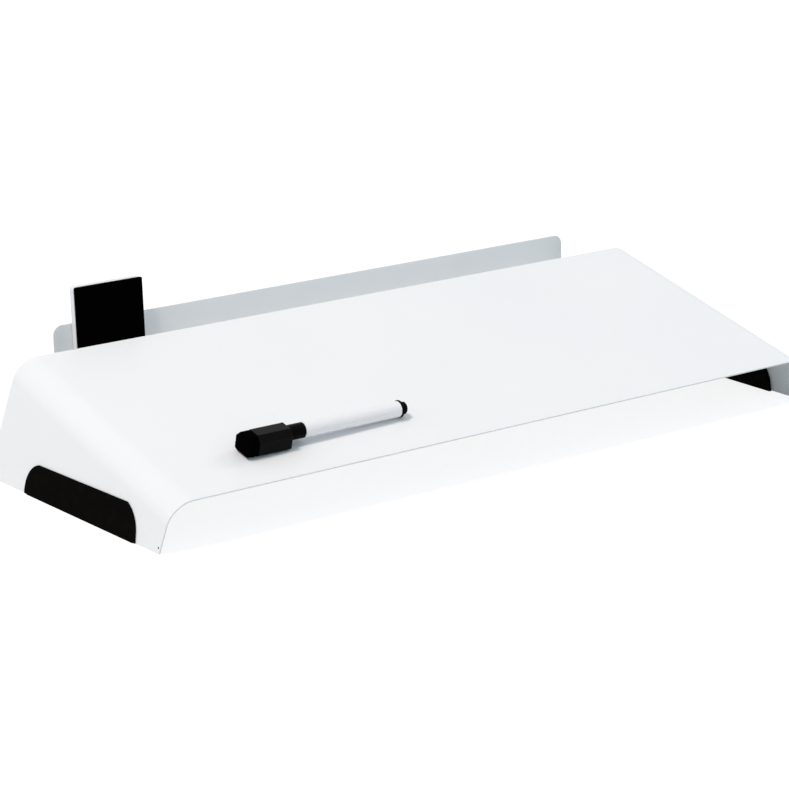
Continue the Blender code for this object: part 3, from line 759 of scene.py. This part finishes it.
soften(board, STEEL_EDGE, segments=2, angle=50)
# Mark the hanging holes' inside faces for their painted near-black shade.
mark_bare(board)
dress(board, white_coat(), "board", "white_coat", "board_sheet")
print("bare faces:", sum(mark.value > 0.5 for mark in board.data.attributes["bare"].data))

# %% [markdown]
# ## Black rubber
#
# The feet are moulded in a tool with a fine spark-eroded grain, so they hardly shine.
# Rubber picks up dust, which shows as a slightly paler, browner bloom in patches.

# %% Mix the rubber and mould the feet
def foot_rubber():
    paint = Paint("foot_rubber_paint", Specular_IOR_Level=0.01)
    grain = paint.grain(0.00035, 2)
    bloom = paint.between(paint.grain(0.008, 4), 0.50, 0.80)
    paint.colour(paint.mix(bloom, (0.0016, 0.0013, 0.0011), (0.0040, 0.0034, 0.0029)))
    paint.roughness(0.62 + 0.16 * grain)
    paint.relief(grain, 0.00004)
    return paint.material


def mould_foot(side, place, paint):
    foot = foot_layer(place, inset=FOOT_LAP, out=-SHEET - 2 * GAP,
                      thickness=SHEET + 4 * GAP)
    outer = foot_layer(place, inset=0, out=GAP, thickness=FOOT_OUTER,
                       lift=FOOT_OUTER_LIFT, rim=FOOT_OUTER_RIM)
    inner = foot_layer(place, inset=FOOT_INNER_INSET, out=-SHEET - GAP - FOOT_INNER,
                       thickness=FOOT_INNER, rim=FOOT_INNER_RIM)
    combine(foot, outer, "UNION")
    combine(foot, inner, "UNION")
    foot.name = "rubber_foot_" + side
    dress(foot, paint, "board", side + "_foot_rubber", "foot_" + side)


rubber = foot_rubber()
for side, place in leg_places.items():
    mould_foot(side, place, rubber)

# %% [markdown]
# ## The eraser's plate
#
# The eraser is a square plastic plate with felt on its face and magnets inside. It
# stands in the tray on its lower edge, its back against the wall. The plate's back rim is
# rounded almost to its corners. A bevel of that size jams where the corner's arc is
# tighter than the rim, so the rim is grown by small insets, each one a step further in
# and further back along a quarter circle. The front rim is so fine that a bevel does.

# %% Grow a rounded rim
X_AXIS, Y_AXIS = 0, 1
NEARLY_ALONG = 0.999


def round_rim(bm, face, radius, steps):
    """Carry a face on along a quarter circle, inwards and outwards at once."""
    for i in range(steps):
        before = math.pi / 2 * i / steps
        after = math.pi / 2 * (i + 1) / steps
        bmesh.ops.inset_region(bm, faces=[face], use_boundary=True, use_even_offset=True,
                               thickness=radius * (math.cos(before) - math.cos(after)),
                               depth=radius * (math.sin(after) - math.sin(before)))


def block(bm, low, high):
    """A box between two corners."""
    low = Vector(low)
    high = Vector(high)
    made = bmesh.ops.create_cube(bm, size=1)["verts"]
    bmesh.ops.scale(bm, vec=high - low, verts=made)
    bmesh.ops.translate(bm, vec=(low + high) / 2, verts=made)


def edges_along(bm, axis):
    """The edges that run along one axis."""
    found = []
    for edge in bm.edges:
        run = (edge.verts[1].co - edge.verts[0].co).normalized()
        if abs(run[axis]) > NEARLY_ALONG:
            found.append(edge)
    return found


def round_edges(bm, edges, radius, segments):
    bmesh.ops.bevel(bm, geom=edges, offset=radius, offset_type="OFFSET", segments=segments,
                    profile=0.5, affect="EDGES", material=-1)


def face_towards(bm, direction):
    """The face that lies furthest in a direction."""
    towards = Vector(direction)
    return max(bm.faces, key=lambda face: face.calc_center_median().dot(towards))


print("rims are grown in steps")

# %% Shape the plate
ERASER_SIZE = 0.0496
ERASER_BODY = 0.0055
ERASER_LEFT = 0.0130
ERASER_CORNER = 0.0024
ERASER_BACK_ROUND = 0.0014
ERASER_FRONT_ROUND = 0.0003
DISC_RADIUS = 0.0040
DISC_THICK = 0.0013
DISC_SPACING = 0.0240

in_tray = Matrix.Translation((-TRAY_HALF + ERASER_LEFT + ERASER_SIZE / 2, tray_back - GAP,
                              tray_floor + GAP))
half = ERASER_SIZE / 2
bm = bmesh.new()
block(bm, (-half, -ERASER_BODY, 0), (half, -ERASER_BACK_ROUND, ERASER_SIZE))
round_edges(bm, edges_along(bm, Y_AXIS), ERASER_CORNER, segments=8)
round_rim(bm, face_towards(bm, (0, 1, 0)), ERASER_BACK_ROUND, steps=7)
front = face_towards(bm, (0, -1, 0))
round_edges(bm, list(front.edges), ERASER_FRONT_ROUND, segments=3)
plate = placed("eraser_plate", bm, in_tray)
for side in (-1, 1):
    pocket = Matrix.Translation((side * DISC_SPACING / 2, -ERASER_BODY, half))
    drill(plate, DISC_RADIUS + GAP, 2 * (DISC_THICK + 2 * GAP),
          in_tray @ pocket @ Matrix.Rotation(math.pi / 2, 4, "X"), segments=48)
print("plate", 1000 * ERASER_SIZE, "mm square")

# %% Mix the plate's plastic
def plate_plastic():
    paint = Paint("plate_plastic_paint", Specular_IOR_Level=0.45)
    fine = paint.grain(0.00025, 2)
    cloud = paint.grain(0.012, 2)
    paint.colour(paint.mix(cloud, (0.76, 0.77, 0.78), (0.82, 0.83, 0.84)))
    paint.roughness(0.38 + 0.12 * fine)
    paint.relief(fine, 0.000012)
    return paint.material


dress(plate, plate_plastic(), "eraser", "eraser_plastic", "eraser_body")

# %% [markdown]
# ## Felt
#
# Felt is pressed wool: a mat of fibres without weave. Close up its face is lumpy and its
# edge is never quite straight. The pad is divided into small squares and each point is
# moved a tenth of a millimetre by noise, and the fibres themselves are drawn in the
# material, as noise stretched two ways. Black felt gives back almost no light, only a
# soft sheen when it is seen along its face.

# %% Make felt
COARSE_LUMPS = 900
FINE_LUMPS = 2300
FINE_SHARE = 0.6
TOO_LONG = 1.6
MOST_DIVISIONS = 6


def roughen(bm, length, depth):
    """Divide long edges and let every point wander a little."""
    for _ in range(MOST_DIVISIONS):
        long_edges = [edge for edge in bm.edges if edge.calc_length() > TOO_LONG * length]
        if not long_edges:
            break
        bmesh.ops.subdivide_edges(bm, edges=long_edges, cuts=1, use_grid_fill=True)
    bm.normal_update()
    for vert in bm.verts:
        coarse = noise.noise(vert.co * COARSE_LUMPS)
        fine = noise.noise(vert.co * FINE_LUMPS)
        vert.co -= vert.normal * depth * (0.5 + 0.5 * (coarse + FINE_SHARE * fine))


def black_felt():
    paint = Paint("black_felt_paint", Specular_IOR_Level=0.005, Sheen_Weight=0.002,
                  Sheen_Roughness=0.5)
    across = paint.grain(0.0005, 3, stretch=(4, 1, 1), turn=(0.3, 0.5, 0.4))
    upwards = paint.grain(0.0005, 3, stretch=(1, 1, 4), turn=(0.5, 0.2, 0.9))
    mat = 0.5 * across + 0.5 * upwards
    paint.colour(paint.mix(mat, (0.0002, 0.0002, 0.0002), (0.0010, 0.0009, 0.0010)))
    paint.roughness(0.9 + 0.1 * mat)
    paint.relief(mat, 0.00012)
    return paint.material


felt_paint = black_felt()
print("felt mixed")

# %% Lay the eraser's felt
ERASER_FELT = 0.0020
ERASER_FELT_INSET = 0.0003
ERASER_FELT_CORNER = 0.0005
ERASER_FELT_EDGE = 0.0003

bm = bmesh.new()
felt_back = -ERASER_BODY - GAP
block(bm, (-half + ERASER_FELT_INSET, felt_back - ERASER_FELT, ERASER_FELT_INSET),
      (half - ERASER_FELT_INSET, felt_back, ERASER_SIZE - ERASER_FELT_INSET))
round_edges(bm, edges_along(bm, Y_AXIS), ERASER_FELT_CORNER, segments=3)
front = face_towards(bm, (0, -1, 0))
round_edges(bm, list(front.edges), ERASER_FELT_EDGE, segments=2)
bm.transform(in_tray)
roughen(bm, length=0.0010, depth=0.00008)
bmesh.ops.recalc_face_normals(bm, faces=bm.faces)
dress(object_of("eraser_pad", bm), felt_paint, "eraser", "eraser_black_felt", "eraser_felt")

# %% [markdown]
# ## Where the marker lies
#
# The marker rests on two spots: the flat of its cap and the rim of its end plug. The cap
# is the taller of the two, so the axis dips a little towards the plug. The matrix below
# holds that dip, a slight turn on the board and the slope itself. Its X runs along the
# marker from the cap's open end to the plug, and its Z is up from the board.

# %% Place the marker's axis
MARKER_LEFT = 0.0830
MARKER_UP = 0.0344
MARKER_TURN = math.radians(1.8)
CAP_SEAT = 0.0075
COLLAR_LENGTH = 0.01145
BARREL_LENGTH = 0.0720
PLUG_FLANGE = 0.0011
PLUG_FLANGE_RADIUS = 0.0055

collar_end = GAP + COLLAR_LENGTH
barrel_start = collar_end + GAP
barrel_end = barrel_start + BARREL_LENGTH
flange_end = barrel_end + GAP + PLUG_FLANGE
dip = math.atan2(CAP_SEAT - PLUG_FLANGE_RADIUS, flange_end)
seat = Matrix.Translation((-FLAT_WIDTH / 2 + MARKER_LEFT, MARKER_UP,
                           GAP + CAP_SEAT * math.cos(dip)))
turn = Matrix.Rotation(MARKER_TURN, 4, "Z") @ Matrix.Rotation(dip, 4, "Y")
on_marker = on_slope @ seat @ turn
print("marker dips", round(math.degrees(dip), 2), "degrees")

# %% [markdown]
# ## The marker's cap
#
# The cap is a squared block with wide chamfers on top, small ones below and eased ends,
# so that the marker doesn't roll off the slope. It starts as a box, its long edges are
# chamfered, and its ends softened. Then the bore, the felt's recess and the magnet's
# pocket are cut, because they show when the cap is pulled off.

# %% Shape the cap
CAP_LENGTH = 0.0239
CAP_WIDTH = 0.0156
CAP_HEIGHT = 0.0131
CAP_TOP_CHAMFER = 0.0036
CAP_BOTTOM_CHAMFER = 0.0013
CAP_EDGE = 0.00035
CAP_BORE_DEPTH = 0.0155
CAP_SKIN = 0.0006
SEAL_RADIUS = 0.00405
FELT_LENGTH = 0.0069
FELT_INSET = 0.0002
FELT_SPIGOT = 0.0016
FELT_SPIGOT_WIDTH = 0.0100
FELT_SPIGOT_HEIGHT = 0.0102
BAR_LENGTH = 0.0097
BAR_WIDTH = 0.0060
BAR_THICK = 0.0015


def squared_bar(bm, left, right, inset):
    """The cap's squared section between two places on the marker's axis."""
    wide = CAP_WIDTH / 2 - inset
    low = -CAP_SEAT + inset
    high = CAP_HEIGHT - CAP_SEAT - inset
    block(bm, (left, -wide, low), (right, wide, high))
    long_edges = edges_along(bm, X_AXIS)
    upper = [edge for edge in long_edges if edge.verts[0].co.z > 0]
    lower = [edge for edge in long_edges if edge.verts[0].co.z < 0]
    round_edges(bm, upper, CAP_TOP_CHAMFER, segments=1)
    round_edges(bm, lower, CAP_BOTTOM_CHAMFER, segments=1)


def cut_block(piece, low, high, place):
    """Cut a squared pocket into a piece."""
    bm = bmesh.new()
    block(bm, low, high)
    combine(piece, placed("pocket_cutter", bm, place), "DIFFERENCE")


bm = bmesh.new()
squared_bar(bm, -CAP_LENGTH, 0, 0)
cap = placed("marker_cap_shell", bm, on_marker)
soften(cap, CAP_EDGE, segments=3, angle=30)
print("cap", 1000 * CAP_LENGTH, "mm long")

# %% Bore the cap and cut its recess
drill(cap, SEAL_RADIUS + GAP, 2 * CAP_BORE_DEPTH,
      on_marker @ Matrix.Rotation(math.pi / 2, 4, "Y"), segments=64)

recess_end = -CAP_LENGTH + FELT_SPIGOT
recess_low = -CAP_SEAT + CAP_SKIN
recess_high = recess_low + FELT_SPIGOT_HEIGHT + 2 * GAP
pocket_end = recess_end + BAR_LENGTH + GAP
pocket_high = recess_low + BAR_THICK + 2 * GAP
spigot_wide = FELT_SPIGOT_WIDTH / 2
bar_wide = BAR_WIDTH / 2
cut_block(cap, (-CAP_LENGTH - CUT, -spigot_wide - GAP, recess_low),
          (recess_end, spigot_wide + GAP, recess_high), on_marker)
cut_block(cap, (recess_end - CUT, -bar_wide - GAP, recess_low),
          (pocket_end, bar_wide + GAP, pocket_high), on_marker)
print("cap bored:", len(cap.data.polygons), "faces")

# %% [markdown]
# ## Black plastic
#
# The cap and the marker's ends are injection moulded. Their black has a satin gloss with
# a very fine grain, and fingers leave patches on it that are a little smoother.

# %% Mix the black plastic
def black_plastic(name, colour, roughness, shine):
    paint = Paint(name, Specular_IOR_Level=shine)
    fine = paint.grain(0.00022, 2)
    touch = paint.between(paint.grain(0.005, 3), 0.42, 0.68)
    paint.colour(paint.mix(touch, colour, tuple(1.5 * part for part in colour)))
    paint.roughness(roughness + 0.10 * fine - 0.06 * touch)
    paint.relief(fine, 0.000015)
    return paint.material


dress(cap, black_plastic("cap_plastic_paint", (0.0007, 0.0006, 0.0008), 0.22, 0.06),
      "cap", "cap_plastic", "marker_cap")

# %% Fit the cap's felt
FELT_EDGE = 0.0005

bm = bmesh.new()
felt_right = -CAP_LENGTH - GAP
squared_bar(bm, felt_right - FELT_LENGTH, felt_right, FELT_INSET)
far_face = face_towards(bm, (-1, 0, 0))
round_edges(bm, list(far_face.edges), FELT_EDGE, segments=2)
roughen(bm, length=0.0008, depth=0.00010)
tip_felt = placed("cap_felt_pad", bm, on_marker)
bm = bmesh.new()
block(bm, (felt_right - CUT, -spigot_wide, recess_low + GAP),
      (recess_end - GAP, spigot_wide, recess_low + GAP + FELT_SPIGOT_HEIGHT))
combine(tip_felt, placed("felt_spigot", bm, on_marker), "UNION")
dress(tip_felt, felt_paint, "cap", "cap_black_felt", "cap_felt")

# %% [markdown]
# ## Turned pieces
#
# Section, barrel, plug and nib are round about the marker's axis. Each one is half an
# outline of places along the axis and radii, spun once round. The spin closes on itself
# with use_merge, points on the axis are merged into one, and the sharp edges get the small
# radius that every mould leaves.

# %% Turn a piece on the marker's axis
MOULD_EDGE = 0.00018
BARREL_EDGE = 0.0002
NIB_EDGE = 0.00005
ROUND_STEPS = 6


def rounded_end(end, inwards, radius, rounding):
    """Outline points of a quarter circle, from an end's flat face to its side."""
    points = []
    for i in range(ROUND_STEPS + 1):
        angle = math.pi / 2 * i / ROUND_STEPS
        points.append((end + inwards * rounding * (1 - math.cos(angle)),
                       radius - rounding * (1 - math.sin(angle))))
    return points


def turned(name, outline, hollow, rim, steps=64):
    """Spin an outline of (place, radius) pairs about the marker's axis."""
    bm = bmesh.new()
    points = [bm.verts.new((x, 0, radius)) for x, radius in outline]
    lines = [bm.edges.new(pair) for pair in zip(points, points[1:])]
    if hollow:
        lines.append(bm.edges.new((points[-1], points[0])))
    bmesh.ops.spin(bm, geom=points + lines, cent=(0, 0, 0), axis=(1, 0, 0),
                   angle=2 * math.pi, steps=steps, use_merge=True)
    bmesh.ops.remove_doubles(bm, verts=bm.verts, dist=WELD)
    return soften(placed(name, bm, on_marker), rim, segments=3, angle=25)


print("lathe ready")

# %% Turn the section, with its collar, seal ring and nose
COLLAR_RADIUS = 0.00485
NOSE_RADIUS = 0.00375
NOSE_LENGTH = 0.0095
NOSE_CONE = 0.0030
NOSE_TIP_RADIUS = 0.0026
SEAL_WIDTH = 0.0010
SEAL_BACK = 0.0024
SPIGOT_LENGTH = 0.0080
BARREL_RADIUS = 0.00505
BARREL_WALL = 0.00075
NIB_RADIUS = 0.0013

spigot_end = collar_end + SPIGOT_LENGTH
barrel_inner = BARREL_RADIUS - BARREL_WALL
spigot_radius = barrel_inner - GAP
nib_hole = NIB_RADIUS + GAP
nose_end = GAP - NOSE_LENGTH
ring = GAP - SEAL_BACK
section = turned("marker_grip_section", [
    (nose_end, nib_hole), (nose_end, NOSE_TIP_RADIUS), (nose_end + NOSE_CONE, NOSE_RADIUS),
    (ring - SEAL_WIDTH - (SEAL_RADIUS - NOSE_RADIUS), NOSE_RADIUS),
    (ring - SEAL_WIDTH, SEAL_RADIUS), (ring, SEAL_RADIUS),
    (ring + SEAL_RADIUS - NOSE_RADIUS, NOSE_RADIUS), (GAP, NOSE_RADIUS), (GAP, COLLAR_RADIUS),
    (collar_end, COLLAR_RADIUS), (collar_end, spigot_radius), (spigot_end, spigot_radius),
    (spigot_end, nib_hole)], hollow=True, rim=MOULD_EDGE)
dress(section, black_plastic("section_plastic_paint", (0.0006, 0.0006, 0.0007), 0.26, 0.03),
      "marker", "section_plastic", "marker_section")

# %% [markdown]
# ## The white barrel
#
# The barrel is a thin white tube, glossier than the board. Its gloss carries long soft
# lights, so the material is plain white with a faint flow along the tube, and hardly any
# relief.

# %% Turn the barrel
def barrel_white():
    paint = Paint("barrel_white_paint", Specular_IOR_Level=0.5)
    flow = paint.grain(0.0008, 2, stretch=(24, 1, 1))
    haze = paint.grain(0.006, 2)
    paint.colour(paint.mix(haze, (0.850, 0.838, 0.858), (0.876, 0.862, 0.878)))
    paint.roughness(0.22 + 0.10 * flow)
    paint.relief(flow, 0.000006)
    return paint.material


barrel = turned("marker_tube", [(barrel_start, barrel_inner), (barrel_start, BARREL_RADIUS),
                                (barrel_end, BARREL_RADIUS), (barrel_end, barrel_inner)],
                hollow=True, rim=BARREL_EDGE)
dress(barrel, barrel_white(), "marker", "barrel_plastic", "marker_barrel")

# %% Turn the end plug
PLUG_NUB_RADIUS = 0.0040
PLUG_NUB = 0.0039
PLUG_NUB_ROUND = 0.0010
PLUG_SPIGOT = 0.0070

flange_start = barrel_end + GAP
plug_start = flange_start - PLUG_SPIGOT
nub_end = flange_end + PLUG_NUB
nub_rim = rounded_end(nub_end, -1, PLUG_NUB_RADIUS, PLUG_NUB_ROUND)
nub_rim.reverse()
plug = turned("marker_tail_plug", [
    (plug_start, 0), (plug_start, spigot_radius), (flange_start, spigot_radius),
    (flange_start, PLUG_FLANGE_RADIUS), (flange_end, PLUG_FLANGE_RADIUS),
    (flange_end, PLUG_NUB_RADIUS)] + nub_rim + [(nub_end, 0)],
    hollow=False, rim=MOULD_EDGE)
dress(plug, black_plastic("plug_plastic_paint", (0.0006, 0.0006, 0.0007), 0.30, 0.03),
      "marker", "plug_plastic", "marker_end_plug")

# %% [markdown]
# ## Nib, reservoir and magnets
#
# The nib is a hard fibre bullet, black with ink. The reservoir behind it and the magnets
# are closed in, and their measured shapes are right as they are, so they only get their
# own materials: pale fibre that runs along the marker, and dull plated iron.

# %% Turn the nib
NIB_OUT = 0.0033
NIB_IN = 0.0040
NIB_ROUND = 0.0008


def inked_fibre():
    paint = Paint("nib_fibre_paint", Specular_IOR_Level=0.3)
    fibre = paint.grain(0.00012, 2, stretch=(8, 1, 1))
    paint.colour(paint.mix(fibre, (0.004, 0.004, 0.005), (0.018, 0.018, 0.020)))
    paint.roughness(0.70 + 0.2 * fibre)
    paint.relief(fibre, 0.00003)
    return paint.material


nib_tip = nose_end - NIB_OUT
nib_end = spigot_end + GAP + NIB_IN
tip_rim = rounded_end(nib_tip, 1, NIB_RADIUS, NIB_ROUND)
nib = turned("marker_writing_nib",
             [(nib_tip, 0)] + tip_rim + [(nib_end, NIB_RADIUS), (nib_end, 0)],
             hollow=False, rim=NIB_EDGE, steps=40)
dress(nib, inked_fibre(), "marker", "nib_fibre", "marker_nib")

# %% Finish the hidden nodes
def reservoir_fibre():
    paint = Paint("reservoir_fibre_paint", Specular_IOR_Level=0.2)
    fibre = paint.grain(0.0002, 3, stretch=(20, 1, 1))
    paint.colour(paint.mix(fibre, (0.42, 0.43, 0.46), (0.66, 0.66, 0.68)))
    paint.roughness(0.80 + 0.15 * fibre)
    paint.relief(fibre, 0.00004)
    return paint.material


def plated_iron():
    paint = Paint("plated_iron_paint", Metallic=1.0)
    brushed = paint.grain(0.0002, 2, stretch=(5, 1, 1))
    stain = paint.grain(0.003, 3)
    paint.colour(paint.mix(stain, (0.30, 0.30, 0.31), (0.44, 0.44, 0.45)))
    paint.roughness(0.28 + 0.18 * brushed)
    paint.relief(brushed, 0.000005)
    return paint.material


iron = plated_iron()
hidden = {"marker_reservoir": reservoir_fibre(), "cap_magnet": iron,
          "eraser_magnet_left": iron, "eraser_magnet_right": iron}
for node, paint in hidden.items():
    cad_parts[node].data.materials.clear()
    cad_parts[node].data.materials.append(paint)
print("hidden nodes finished:", len(hidden))

# %% Finish
print("scene finished")
